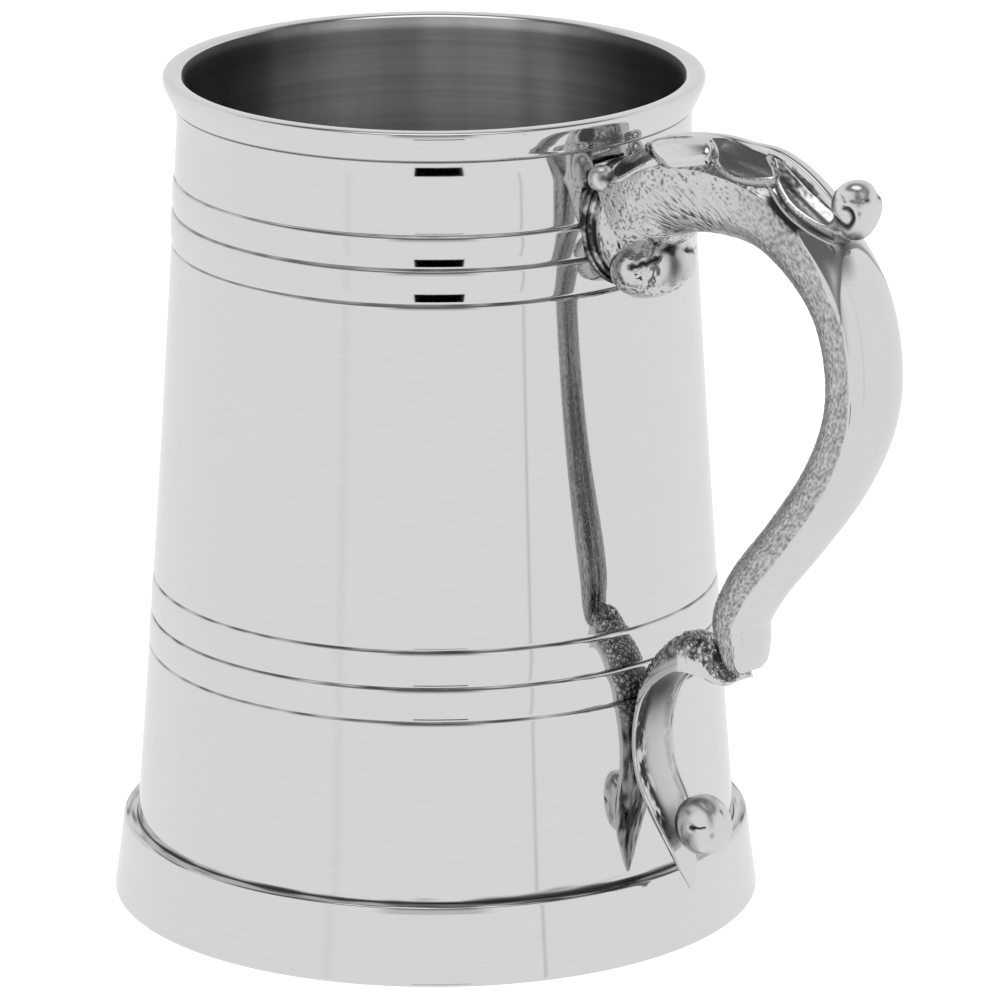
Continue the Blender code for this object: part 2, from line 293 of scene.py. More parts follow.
def closed_loft(rings):
    """Points and faces of a closed body through rings, an array of (stations, points, 3)."""
    stations, count = rings.shape[:2]
    points = np.vstack([rings.reshape(-1, 3), rings[0].mean(0), rings[-1].mean(0)])
    faces = ring_faces(stations, count)
    first, last = len(points) - 2, len(points) - 1
    end = (stations - 1) * count
    for k in range(count):
        nxt = (k + 1) % count
        faces.append([first, nxt, k])
        faces.append([last, end + k, end + nxt])
    return points, outward(points, faces)


def loft_wear_and_shade(wear_and_shade, ends=(1.0, 1.0)):
    """The wear_and_shade values of a closed body's points: those of its rings, then the middle of each end.
    """
    return np.concatenate([wear_and_shade.ravel(), ends])


def make_turned(name, profile, wear_and_shade, material, slot, node, sharp, segments=TURNED_SEGMENTS):
    """A closed (radius, height) outline turned about the drum's axis.

    wear_and_shade(angle, radius, height) gives its wear_and_shade values, with the angle in degrees from the
    handle.
    """
    profile = np.array(profile, float)
    turn = np.arange(segments) * 2 * pi / segments
    rings = np.empty((segments, len(profile), 3))
    rings[:, :, 0] = np.cos(turn)[:, None] * profile[:, 0]
    rings[:, :, 1] = np.sin(turn)[:, None] * profile[:, 0]
    rings[:, :, 2] = profile[:, 1]
    points = rings.reshape(-1, 3)
    faces = outward(points, ring_faces(segments, len(profile), join_ends=True))
    degrees = np.arange(segments) * 360.0 / segments
    degrees = np.where(degrees > 180, degrees - 360, degrees)
    angles, radii = np.meshgrid(degrees, profile[:, 0], indexing="ij")
    heights = np.tile(profile[:, 1], (segments, 1))
    values = np.clip(wear_and_shade(angles, radii, heights), 0.0, 1.0)
    return make_piece(name, points, faces, material, slot, [node], values.ravel(), sharp)


def refine(profile, longest):
    """The closed outline with extra points, so that no side is longer than this."""
    fine = []
    for here, there in zip(profile, profile[1:] + profile[:1]):
        here, there = np.array(here, float), np.array(there, float)
        count = max(1, int(np.ceil(np.linalg.norm(there - here) / longest)))
        fine += [tuple(here + (there - here) * k / count) for k in range(count)]
    return fine


def rounded(corners, radius, steps=6):
    """A closed outline of (radius, height) corners with each corner rounded off."""
    outline = []
    count = len(corners)
    for k in range(count):
        before = np.array(corners[k - 1], float)
        here = np.array(corners[k], float)
        after = np.array(corners[(k + 1) % count], float)
        to_before = before - here
        to_after = after - here
        reach = min(radius, 0.45 * np.linalg.norm(to_before), 0.45 * np.linalg.norm(to_after))
        start = here + to_before / np.linalg.norm(to_before) * reach
        end = here + to_after / np.linalg.norm(to_after) * reach
        for step in range(steps + 1):
            t = step / steps
            outline.append(tuple((1 - t) ** 2 * start + 2 * t * (1 - t) * here + t * t * end))
    return outline


# ---------------------------------------------------------------- materials


class Nodes:
    """A short way to write a node tree."""

    def __init__(self, tree):
        self.tree = tree
        tree.nodes.clear()

    def add(self, kind, settings=None, **inputs):
        node = self.tree.nodes.new(kind)
        for key, value in (settings or {}).items():
            setattr(node, key, value)
        for key, value in inputs.items():
            self.feed(node, key, value)
        return node

    def feed(self, node, key, value):
        key = int(key[1:]) if key[0] == "i" and key[1:].isdigit() else key.replace("_", " ")
        socket = node.inputs[key]
        if isinstance(value, bpy.types.NodeSocket):
            self.tree.links.new(value, socket)
        else:
            socket.default_value = value

    def maths(self, operation, a, b=0.0, c=0.0):
        node = self.add("ShaderNodeMath", {"operation": operation}, i0=a, i1=b, i2=c)
        return node.outputs[0]

    def ramp(self, value, low, high, to_low=0.0, to_high=1.0):
        node = self.add("ShaderNodeMapRange", {"interpolation_type": "SMOOTHSTEP"}, Value=value)
        node.inputs["From Min"].default_value = low
        node.inputs["From Max"].default_value = high
        node.inputs["To Min"].default_value = to_low
        node.inputs["To Max"].default_value = to_high
        return node.outputs[0]

    def noise(self, vector, scale, detail=3.0):
        node = self.add("ShaderNodeTexNoise", Vector=vector, Scale=scale, Detail=detail)
        return node.outputs["Fac"]

    def stretched(self, scale):
        place = self.add("ShaderNodeTexCoord").outputs["Object"]
        node = self.add("ShaderNodeMapping", Vector=place, Scale=scale)
        return node.outputs[0]

    def mix_colour(self, share, a, b):
        node = self.add("ShaderNodeMix", {"data_type": "RGBA"}, i0=share)
        self.feed(node, "i6", a)
        self.feed(node, "i7", b)
        return node.outputs[2]

    def wear_and_shade(self):
        return self.add("ShaderNodeAttribute", {"attribute_name": "wear_and_shade"}).outputs["Fac"]

    def grey(self, value):
        return self.add("ShaderNodeCombineColor", i0=value, i1=value, i2=value).outputs[0]

    def output(self, shader, kind="ShaderNodeOutputMaterial"):
        self.feed(self.add(kind), "Surface", shader.outputs[0])


def new_material(name):
    material = bpy.data.materials.new(name)
    material.use_nodes = True
    return material, Nodes(material.node_tree)


def pewter(name, bright, dull, smoothest, roughest, bump_strength):
    """Pewter that is bright where its wear_and_shade is 1, and dull and rougher where it is 0: in its
    recesses and where shade or dark reflections are painted.
    """
    material, nodes = new_material(name)
    wear_and_shade = nodes.wear_and_shade()
    smears = nodes.noise(nodes.stretched((1.0, 1.0, 0.6)), 90.0)
    polish = nodes.noise(nodes.stretched((1.0, 1.0, 14.0)), 260.0, 4.0)
    pits = nodes.noise(nodes.stretched((1.0, 1.0, 1.0)), 3200.0, 2.0)
    roughness = nodes.ramp(smears, 0.35, 0.7, smoothest, smoothest * 1.7)
    recess = nodes.ramp(wear_and_shade, 0.0, 1.0, roughest, 0.0)
    roughness = nodes.maths("ADD", roughness, recess)
    tone = nodes.ramp(polish, 0.3, 0.7, 0.97, 1.0)
    shade = nodes.ramp(wear_and_shade, 0.0, 1.0)
    colour = nodes.mix_colour(shade, (dull, dull, dull, 1.0), (bright, bright, bright, 1.0))
    toned = nodes.add("ShaderNodeVectorMath", {"operation": "SCALE"}, i0=colour, Scale=tone)
    relief = nodes.maths("MULTIPLY_ADD", pits, 0.5, polish)
    ripple = nodes.add("ShaderNodeBump", Height=relief, Strength=bump_strength, Distance=0.00001)
    shader = nodes.add("ShaderNodeBsdfPrincipled", Metallic=1.0, Roughness=roughness)
    nodes.feed(shader, "Base Color", toned.outputs[0])
    nodes.feed(shader, "Normal", ripple.outputs[0])
    nodes.output(shader)
    return material


def spun_pewter():
    """The unpolished inside: fine rings from the spinning tool, duller with patches of tarnish, and darkened
    by the painted shade in its wear_and_shade.
    """
    material, nodes = new_material("pewter_spun_inside")
    rings = nodes.noise(nodes.stretched((3.0, 3.0, 900.0)), 1.0, 5.0)
    wide_rings = nodes.noise(nodes.stretched((4.0, 4.0, 160.0)), 1.0, 2.0)
    patches = nodes.noise(nodes.stretched((1.0, 1.0, 0.7)), 45.0, 4.0)
    tone = nodes.maths("MULTIPLY_ADD", rings, 0.5, nodes.maths("MULTIPLY", wide_rings, 0.5))
    grey = nodes.ramp(tone, 0.35, 0.65, 0.7, 1.0)
    runs = nodes.noise(nodes.stretched((95.0, 95.0, 3.0)), 1.0, 3.0)
    grey = nodes.maths("MULTIPLY", grey, nodes.ramp(patches, 0.3, 0.75, 1.0, 0.85))
    grey = nodes.maths("MULTIPLY", grey, nodes.ramp(runs, 0.35, 0.65, 0.7, 1.0))
    # painted shade inside, darkest at the sides and under the rim
    grey = nodes.maths("MULTIPLY", grey, nodes.ramp(nodes.wear_and_shade(), 0.0, 1.0, 0.04, 1.0))
    roughness = nodes.ramp(patches, 0.3, 0.7, 0.44, 0.5)
    ripple = nodes.add("ShaderNodeBump", Height=tone, Strength=0.5, Distance=0.00006)
    shader = nodes.add("ShaderNodeBsdfPrincipled", Metallic=0.5, Roughness=roughness, Anisotropic=0.95)
    turning = nodes.add("ShaderNodeTangent", {"direction_type": "RADIAL", "axis": "Z"})
    nodes.feed(shader, "Tangent", turning.outputs[0])
    nodes.feed(shader, "Base Color", nodes.grey(grey))
    nodes.feed(shader, "Normal", ripple.outputs[0])
    nodes.output(shader)
    return material


# ---------------------------------------------------------------- drum, lip, foot, base


def wall_radius(z):
    """Outer radius of the drum, a slightly hollow taper that flares into the lip."""
    plain = 45.4 - 0.0703 * (z - 12.0) + 0.0001107 * (z - 12.0) * (z - 76.0)
    return plain + 0.036 * np.maximum(z - FLARE_START, 0.0) ** 2


def relief_at(z, grooves, upright):
    """How far the surface stands off the plain wall near a set of three grooves with swelling bands between.

    upright is how far the bands turn from the wall's taper towards the vertical, from 0 to 1.
    """
    lift = np.zeros_like(z)
    for upper, lower in zip(grooves, grooves[1:]):
        inside = (z < upper) & (z > lower)
        middle = (upper + lower) / 2
        share = (z - middle) / ((upper - lower) / 2)
        bulge = BAND_BULGE * (0.45 + 0.55 * upright) * (1 - share**2)
        turn = upright * (wall_radius(middle) - wall_radius(z))
        lift += np.where(inside, bulge + turn, 0.0)
    above = z - grooves[0]
    below = grooves[-1] - z
    lift -= 0.1 * upright * np.exp(-np.maximum(below, 0) / 0.9) * (below > 0)
    lift -= 0.05 * upright * np.exp(-np.maximum(above, 0) / 0.4) * (above > 0)
    for height in grooves:
        lift -= GROOVE_DEPTH * bump(z - height, GROOVE_HALF_WIDTH * 0.62)
    return lift


def streaks(angles, height, length, size):
    """Soft noise stretched round the drum, lasting about this length and size high."""
    turn = np.radians(angles)
    round_x = np.cos(turn) * DRUM_BOTTOM_RADIUS / length
    round_y = np.sin(turn) * DRUM_BOTTOM_RADIUS / length
    return fine_noise(np.stack([round_x, round_y, height / size], axis=-1), 1.0)


def inside_shade(angles, heights):
    """Painted shade inside: darker under the rim and in two broad dark patches, leaving a lit stretch at one
    side.
    """
    rim_shade = 1.0 - 0.35 * smooth(heights, LIP_HEIGHT - 9.0, LIP_HEIGHT - 2.5)
    off = np.abs((angles - LIT_INSIDE_ANGLE + 180.0) % 360.0 - 180.0)
    lit_share = np.interp(off, [0, 22, 33, 43, 58, 80, 130, 180], [1.0, 0.95, 0.66, 0.34, 0.14, 0.1, 0.4, 0.5])
    return lit_share * rim_shade


def drum_wear_and_shade(angles, radii, heights):
    """Dirt in the grooves, and along the solder at the foot, most of it under the handle. Painted shade
    inside.
    """
    dirt = np.zeros_like(heights)
    for grooves, width, depth in ((UPPER_GROOVES, 0.13, 0.5), (LOWER_GROOVES, 0.2, 0.7)):
        for groove in grooves:
            dirt = np.maximum(dirt, depth * bump(heights - groove, width))
    dirt *= 1.0 + 0.9 * streaks(angles, heights, 4.0, 0.8)
    near_handle = bump(angles - SOLDER_ANGLE, SOLDER_SPREAD)
    thickness = 0.25 + 0.5 * near_handle + 0.7 * streaks(angles, heights, 7.0, 0.3)
    solder = bump(heights - LEDGE_HEIGHT, np.maximum(thickness, 0.15))
    return np.where(radii < wall_radius(heights) - 1.0, inside_shade(angles, heights), 1.0 - dirt - solder)


def make_drum(material, inside):
    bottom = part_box("drum")[0].z / MM
    coarse = np.arange(bottom, SEAM_HEIGHT + 0.1, 2.0)
    near = [np.arange(g - 0.64, g + 0.65, 0.08) for g in UPPER_GROOVES + LOWER_GROOVES]
    bands = [np.arange(g[-1], g[0], 0.4) for g in (UPPER_GROOVES, LOWER_GROOVES)]
    flare = np.arange(FLARE_START - 1, SEAM_HEIGHT + 0.1, 0.3)
    foot = np.arange(LEDGE_HEIGHT - 0.3, LEDGE_HEIGHT + 2.4, 0.3)
    heights = np.unique(np.round(np.concatenate([coarse, flare, foot, *bands, *near]), 3))[::-1]
    radii = wall_radius(heights) + relief_at(heights, UPPER_GROOVES, 1.0)
    radii += relief_at(heights, LOWER_GROOVES, 0.15)
    outer = list(zip(radii, heights))
    top_edge = [(radii[0] - 0.06, SEAM_HEIGHT + 0.13), (radii[0] - 0.3, SEAM_HEIGHT + 0.18)]
    inner_heights = [SEAM_HEIGHT + 0.18, *np.arange(SEAM_HEIGHT - 1, bottom, -2.5)]
    inner = [(wall_radius(np.array(min(z, 118.0))) - DRUM_WALL, z) for z in inner_heights]
    profile = (top_edge + outer + [(DRUM_BOTTOM_RADIUS, bottom)] + inner[::-1])[::-1]
    drum = make_turned("drum_body", profile, drum_wear_and_shade, material, "pewter_polished", "drum", sharp=50.0)
    finish_inside(drum, inside, lambda z: wall_radius(z) - 0.8)


def finish_inside(piece, inside, limit):
    """Gives the inside's finish to the faces nearer the axis than limit(height)."""
    piece.data.materials.append(inside)
    for face in piece.data.polygons:
        middle = face.center
        radius = np.hypot(middle.x - AXIS_X, middle.y) / MM
        if radius < limit(middle.z / MM):
            face.material_index = 1


def lip_shade(angles, radii, heights):
    # painted shade on the lip's inside
    return np.where(radii < LIP_INSIDE, inside_shade(angles, heights), 1.0)


def make_lip(material, inside):
    """A rounded rim, a tapered face under it and a cove where it meets the drum."""
    seam = SEAM_HEIGHT + 0.2
    cove_start = float(wall_radius(np.array(seam)))
    profile = [
        (39.2, LIP_HEIGHT - 0.03),
        (39.8, LIP_HEIGHT - 0.07),
        (40.2, LIP_HEIGHT - 0.25),
        (40.38, LIP_HEIGHT - 0.6),
        (40.4, LIP_HEIGHT - 1.0),
        (40.2, LIP_HEIGHT - 1.7),
        (39.75, LIP_HEIGHT - 2.8),
        (39.36, LIP_HEIGHT - 3.6),
        (39.16, LIP_HEIGHT - 4.0),
        (39.0, seam + 0.26),
        (cove_start + 0.01, seam + 0.06),
        (cove_start - 0.1, seam),
        (37.5, seam - 0.05),
        (37.1, seam - 0.1),
        (37.03, seam + 0.1),
        (37.0, seam + 1.0),
        (37.05, LIP_HEIGHT - 2.0),
        (37.3, LIP_HEIGHT - 0.8),
        (37.7, LIP_HEIGHT - 0.3),
        (38.3, LIP_HEIGHT - 0.08),
    ]
    profile = curve_through(profile, 5, closed=True)
    lip = make_turned("lip", profile, lip_shade, material, "pewter_polished", "lip_ring", sharp=60.0)
    finish_inside(lip, inside, lambda z: LIP_INSIDE - 0.05)


def foot_wear(angles, radii, heights):
    """Dark solder smeared over the top of the ledge, most of it under the handle."""
    on_top = smooth(heights, LEDGE_HEIGHT - 0.35, LEDGE_HEIGHT - 0.05)
    near_handle = bump(angles - SOLDER_ANGLE, SOLDER_SPREAD)
    smear = 0.15 + 0.5 * near_handle + 1.3 * streaks(angles, radii, 6.0, 0.25)
    return 1.0 - on_top * np.clip(smear, 0.0, 1.0)


def make_foot(material):
    inner = float(wall_radius(np.array(LEDGE_HEIGHT)))
    corners = [
        (inner - 0.1, LEDGE_HEIGHT),
        (47.35, LEDGE_HEIGHT - 0.05),
        (47.6, LEDGE_HEIGHT - 0.9),
        (48.2, 6.0),
        (FOOT_RADIUS, 0.4),
        (FOOT_RADIUS - 0.5, 0.0),
        (46.1, 0.0),
        (46.1, 1.6),
        (46.9, 2.6),
        (46.0, LEDGE_HEIGHT - 1.7),
        (inner - 0.1, LEDGE_HEIGHT - 1.4),
    ]
    profile = refine(rounded(corners, 0.45), 0.6)
    make_turned("foot", profile, foot_wear, material, "pewter_polished", "foot_skirt", sharp=60.0)


def make_base(material):
    low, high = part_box("base_disc")
    reach = (high.x - low.x) / 2 / MM
    under, top = low.z / MM, high.z / MM
    dome = 1.2
    share = np.linspace(1.0, 0.004, 30)
    upper = [(reach * s, top - dome * min(1.0, s * s)) for s in share]
    lower = [(reach * s, under + dome * (1 - s * s)) for s in share[::-1]]
    make_turned("base", upper + lower, lambda a, r, z: np.ones_like(z), material, "pewter_spun",
                "base_disc", sharp=50.0, segments=TURNED_SEGMENTS // 2)


# ---------------------------------------------------------------- handle


def frames_along(rows, steps):
    """The rows of the smooth curve, its normals in the handle's plane, and the run along it."""
    rows = curve_through(rows, steps)
    tangent = np.gradient(rows[:, :2], axis=0)
    tangent /= np.linalg.norm(tangent, axis=1)[:, None]
    normals = np.stack([-tangent[:, 1], tangent[:, 0]], axis=1)
    steps_run = np.linalg.norm(np.diff(rows[:, :2], axis=0), axis=1)
    return rows, normals, np.concatenate([[0.0], np.cumsum(steps_run)])


def section_shares(angles):
    """(out, across) of the handle's section, as shares of its half sizes. Its back is a low arch."""
    power = 2 / SECTION_POWER
    edge = radians(BACK_EDGE)
    turn = np.abs(angles)
    out = np.sign(np.cos(turn)) * np.abs(np.cos(turn)) ** power
    across = np.sin(turn) ** power
    edge_across = sin(edge) ** power
    on_back = turn < edge
    proud = BACK_EDGE_OUT - cos(edge) ** power
    out += proud * (1 - smooth(turn, edge, edge + radians(16)))
    out = np.where(on_back, 1 - (1 - BACK_EDGE_OUT) * (turn / edge) ** 2, out)
    across = np.where(on_back, edge_across * turn / edge, across)
    return out, across * np.sign(angles + 1e-12)


def off_curve(rows, normals, out, across):
    """A grid of points that stand this far out from the curve and this far across it."""
    reach = rows[:, 0:1] + normals[:, 0:1] * out
    height = rows[:, 1:2] + normals[:, 1:2] * out
    return np.stack([reach, across, height], axis=2)


def handle_surface(rows, normals, angles, side):
    """The plain form of the handle, (stations, angles, 3). Angle 0 is the middle of its back."""
    out, across = section_shares(angles)
    depth = np.where(out[None, :] >= 0, rows[:, 2:3], rows[:, 3:4])
    return off_curve(rows, normals, depth * out, rows[:, 4:5] * across * side)


def lifted(grid, lift):
    """The grid moved along its own outward normals."""
    normals = grid_normals(grid)
    middle = grid.mean(axis=1, keepdims=True)
    if np.sum(normals * (grid - middle)) < 0:
        normals = -normals
    return grid + normals * lift[:, :, None]


def cast_texture(run, place, side, on_arch):
    """Lift and wear_and_shade of the cast finish, at places given by the run along the handle and the way
    round it.

    Pits cover the root, slanting scales the underside of the arch, and long grains the shaft. The lower
    sides of the scales are painted darker as painted shadow.
    """
    other = np.full_like(run, 50.0 * side)
    flat = np.stack([run, place, other], axis=-1)
    long = np.stack([run * 0.5, place, other + 30.0], axis=-1)
    slanted = np.stack([0.6 * run - 0.8 * place, 0.25 * (0.6 * place + 0.8 * run), other + 60.0], axis=-1)
    broad = fine_noise(flat + 11.0, 1.6)
    fine = fine_noise(flat * np.array([0.55, 1.0, 1.0]), 0.36)
    fibre = fine_noise(long, 0.3)
    scale = fine_noise(slanted, 0.42)
    grain = grains(long, 0.36)
    scaly = bump(run - 17.0, 9.0) * smooth(place, 8.0, 15.0)
    pits = smooth(fine + 0.35 * broad, 0.22, 0.42) * (1 - scaly)
    arch_lift = -0.08 * pits + 0.02 * broad + 0.13 * scale * scaly + 0.02 * fine
    # the lower sides of the scales are painted darker, as painted shadow
    arch_wear_and_shade = 0.84 - 0.55 * pits + 0.15 * fine - 0.75 * scaly * smooth(-scale, 0.0, 0.45)
    shaft_lift = 0.045 * grain + 0.05 * fibre + 0.03 * fine - 0.05
    shaft_wear = 0.52 + 0.13 * grain + 0.34 * fibre
    lift = arch_lift * on_arch + shaft_lift * (1 - on_arch)
    wear_and_shade = arch_wear_and_shade * on_arch + shaft_wear * (1 - on_arch)
    return lift, np.clip(wear_and_shade, 0.0, 1.0)


def polish_border(run):
    """Degrees from the middle of the back at which the polish ends, along the handle."""
    return np.interp(run, [0, 33, 38, 43, 47, 51, 140], [48, 50, 68, 73, 77, 72, 72])


POINTED_TAB = [  # polished, on the handle under the leaf, as (run, distance round from the back)
    (37.0, 7.6), (38.5, 8.3), (41.2, 8.5), (44.1, 8.9), (47.4, 9.2), (49.6, 8.8),
    (48.0, 7.9), (46.1, 6.7), (43.4, 4.1), (42.3, 1.9), (41.9, -1.0), (38.0, -1.0),
]
TAB_EDGE = [(41.9, 0.0), (42.3, 1.9), (43.4, 4.1), (46.1, 6.7), (48.0, 7.9), (50.5, 8.7)]


def shadow_by_leaf(along, place):
    """Painted shadow on the handle under the last lobe of the leaf, and painted shade in the crease down the
    right side of its pointed tab, with the tab itself a little darker.
    """
    last = curve_through(LEAF_LOBES[-1]["outline"], 6, closed=True)
    gap = -inside_distance(along, place, last)
    dark = bump(gap - 1.6, 0.85) * smooth(along, 30.0, 32.0) * (1 - smooth(along, 36.0, 39.5))
    in_tab = inside_distance(along, place, curve_through(POINTED_TAB, 4, closed=True))
    beside = line_distance(along, place, curve_through(TAB_EDGE, 6))
    width = np.interp(along, [41.0, 43.0, 46.0, 50.0], [1.6, 1.3, 0.9, 0.4])
    # painted shade in the crease beside the tab
    crease_shade = bump(beside / width, 0.9) * np.where(in_tab > 0, 1.0, bump(beside, 0.25))
    tab = 0.1 * smooth(in_tab, 0.0, 0.3)
    return np.maximum(dark, np.maximum(0.62 * crease_shade, tab))


def make_handle_half(name, node, side, material):
    rows, normals, run = frames_along(HANDLE_SECTIONS, HANDLE_STEPS)
    angles = np.linspace(0.0, pi, HANDLE_AROUND)
    grid = handle_surface(rows, normals, angles, side)
    along, degrees = np.meshgrid(run, np.degrees(angles), indexing="ij")
    cast = smooth(degrees - polish_border(along), 0.0, 4.0)
    place = degrees * MM_PER_DEGREE
    steps_round = np.linalg.norm(np.diff(grid, axis=1), axis=2)
    girth = np.concatenate([np.zeros((len(rows), 1)), np.cumsum(steps_round, axis=1)], axis=1)
    texture, texture_wear_and_shade = cast_texture(along, girth, side, 1.0 - smooth(along, 22.0, 36.0))
    lift = cast * (texture - 0.08)
    across = np.abs(grid[:, :, 1])
    lift -= 0.3 * bump(across, 0.35) * smooth(degrees, 100.0, 150.0)
    wear_and_shade = 1.0 - cast * (1.0 - texture_wear_and_shade)
    near_leaf = (along > 26) & (along < 53) & (degrees < 110)
    shadow = np.zeros_like(wear_and_shade)
    shadow[near_leaf] = shadow_by_leaf(along[near_leaf], place[near_leaf])
    wear_and_shade = np.clip(wear_and_shade - shadow, 0.0, 1.0)
    surface = lifted(grid, lift)
    surface[:, 0, 1] = 0.0
    surface[:, -1, 1] = 0.0
    make_piece(name, *closed_loft(surface), material, "pewter_cast", [node], loft_wear_and_shade(wear_and_shade), sharp=70.0)


# Lobes of the leaf on one side of the handle, as closed outlines of (run along the handle, distance
# round it from the middle of its back), with the height of the rim, the dish sunk in it as (run, distance,
# half length, half width, depth), and its tone where the lobe starts and ends: painted shade and painted
# dark reflections.
LEAF_LOBES = [
    {
        "outline": [(2.0, -2.0), (1.8, 5.0), (3.0, 8.4), (6.0, 8.6), (9.0, 7.9), (11.5, 7.0),
                    (10.5, 4.0), (9.0, -2.0)],
        "rim": 0.75, "dish": (5.5, 4.6, 5.5, 4.4, 0.55), "wear_and_shade": (2.0, 0.35, 10.0, 0.5), "mottle": 0.2,
    },
    {
        "outline": [(7.0, 0.9), (8.6, 3.9), (10.8, 6.5), (13.2, 7.8), (16.0, 7.8), (18.6, 7.1),
                    (19.7, 5.9), (19.2, 4.2), (17.6, 2.3), (14.0, 0.9)],
        "rim": 1.5, "dish": (13.4, 4.4, 6.0, 3.5, -0.25), "wear_and_shade": (8.0, 0.9, 18.0, 0.9), "mottle": 0.1,
    },
    {
        "outline": [(15.8, 0.8), (18.8, 3.0), (20.3, 4.8), (21.2, 6.2), (23.0, 7.3), (25.5, 7.7),
                    (27.6, 7.1), (29.0, 6.0), (29.9, 4.5), (29.0, 2.8), (27.3, 1.0), (22.0, 0.8)],
        "rim": 1.45, "dish": (24.2, 4.1, 7.0, 3.8, 1.25), "wear_and_shade": (20.0, 0.36, 30.0, 0.62),
        "mottle": 0.15,
    },
    {
        "outline": [(26.6, 0.8), (28.8, 2.9), (30.3, 4.7), (31.9, 5.8), (33.8, 6.3), (35.6, 6.1),
                    (37.4, 5.4), (39.2, 4.0), (40.4, 2.2), (40.9, -1.5), (37.5, -1.5), (35.0, 0.6),
                    (31.0, 0.9)],
        "rim": 1.7, "dish": (33.8, 3.1, 6.8, 3.3, 1.3), "wear_and_shade": (31.0, 0.2, 35.5, 0.85),
        "mottle": 0.35,
    },
]
LEAF_FLOOR = -0.8  # where no leaf stands, its sheet lies this far under the handle's surface


def leaf_form(along, across):
    """Lift and wear_and_shade of the leaf over the handle. The tones of its lobes are painted shade and
    painted dark reflections, and the darker line at the foot of its ridge is painted shade.

    On the left side its ridge is broader and its lobes are lower.
    """
    place = np.abs(across)
    flank = np.maximum(-1.8 * across, 0.5 * across)
    lower = 1.0 - 0.45 * smooth(across, 1.0, 4.0)
    lift = np.full(along.shape, LEAF_FLOOR)
    wear_and_shade = np.full(along.shape, 0.6)
    ragged = fine_noise(np.stack([along, place, np.zeros_like(along)], axis=-1), 0.7)
    brushed = fine_noise(np.stack([along * 0.3, place, np.full_like(along, 9.0)], axis=-1), 0.35)
    for number, lobe in enumerate(LEAF_LOBES):
        outline = curve_through(lobe["outline"], 6, closed=True)
        depth = inside_distance(along, place, outline)
        rim = lobe["rim"] * (1 - 0.4 * smooth(place, 4.5, 8.0)) + 0.5 * smooth(along, 33.0, 40.0)
        run, distance, half_length, half_width, sunk = lobe["dish"]
        out = ((along - run) / half_length) ** 2 + ((place - distance) / half_width) ** 2
        dish = np.clip(1.0 - out, 0.0, 1.0)
        inside = rim - sunk * dish - 0.2 * (1 - smooth(depth, 0.0, 0.5))
        wall = LEAF_FLOOR + (rim - 0.2 - LEAF_FLOOR) * (1.0 - smooth(-depth, 0.0, 0.7))
        if number == len(LEAF_LOBES) - 1:
            wall += 1.1 * bump(depth + 1.1, 0.5) * smooth(place, 2.0, 4.0)
        form = LEAF_FLOOR + lower * (np.where(depth > 0, inside, wall) - LEAF_FLOOR)
        start, tone_there, end, tone_here = lobe["wear_and_shade"]
        # painted shade and dark reflections: each lobe runs from one tone to another along the handle
        tone = tone_there + (tone_here - tone_there) * smooth(along + 1.2 * ragged, start, end)
        tone = np.clip(tone + 0.12 * brushed + lobe["mottle"] * ragged, 0.0, 1.0)
        in_dish = smooth(depth, 0.25, 0.75)
        tone = np.where(depth > 0, tone * in_dish + 1.0 - in_dish, 0.85 if number < 2 else 0.6)
        wear_and_shade = np.where(form > lift, tone, wear_and_shade)
        lift = np.maximum(lift, form)
    streak = smooth(along, 8.0, 9.5) * (1 - smooth(along, 14.0, 16.5))
    streak *= bump(place - 2.9 - 0.35 * ragged, 0.5)
    torn = bump(along - 18.6 - 1.2 * ragged, 1.4) * bump(place - 2.4, 2.0)
    wear_and_shade = wear_and_shade - 0.85 * streak + torn
    back = 1.55 + 0.9 * smooth(along, 22.0, 28.0) - np.where(across > 0, 0.085, 0.29) * place**2
    fade = smooth(along, 6.0, 14.0) * (1.0 - smooth(along, 38.5, 42.0))
    ridge = LEAF_FLOOR + (back - LEAF_FLOOR) * (1.0 - smooth(flank, 1.2, 2.3)) * fade
    shade_at_ridge_foot = bump(flank - 1.9, 0.3) * smooth(along, 19.0, 23.0) * fade
    # painted shade along the foot of the ridge
    wear_and_shade = np.where(ridge > lift, 1.0, wear_and_shade) - 0.8 * shade_at_ridge_foot
    return np.maximum(lift, ridge), np.clip(wear_and_shade, 0.0, 1.0)


def make_leaf(material):
    rows, normals, run = frames_along(HANDLE_SECTIONS, LEAF_STEPS)
    keep = (run > LEAF_SPAN[0]) & (run < LEAF_SPAN[1])
    angles = np.radians(np.linspace(-LEAF_EDGE, LEAF_EDGE, LEAF_ACROSS))
    grid = handle_surface(rows[keep], normals[keep], angles, 1)
    along, place = np.meshgrid(run[keep], np.degrees(angles) * MM_PER_DEGREE, indexing="ij")
    lift, wear_and_shade = leaf_form(along, place)
    upper = lifted(grid, lift)
    lower = lifted(grid, np.full(along.shape, LEAF_FLOOR - 0.6))
    rings = np.concatenate([upper, lower[:, ::-1]], axis=1)
    wear_and_shade = np.concatenate([wear_and_shade, np.ones_like(wear_and_shade)], axis=1)
    make_piece("leaf", *closed_loft(rings), material, "pewter_polished", ["thumb_leaf"],
               loft_wear_and_shade(wear_and_shade), sharp=75.0)


# ---------------------------------------------------------------- rolled ends


def arc_mark(x, y, centre, radius, start, end, width):
    """1 along an arc between two angles in degrees, fading out over this width."""
    turn = np.degrees(np.arctan2(y - centre[1], x - centre[0]))
    middle, half = (start + end) / 2, (end - start) / 2
    off = np.abs((turn - middle + 180) % 360 - 180)
    fade = 1 - smooth(off, half * 0.7, half)
    return bump(np.hypot(x - centre[0], y - centre[1]) - radius, width) * fade


def line_mark(x, y, start, end, width):
    return bump(line_distance(x, y, [start, end]), width)


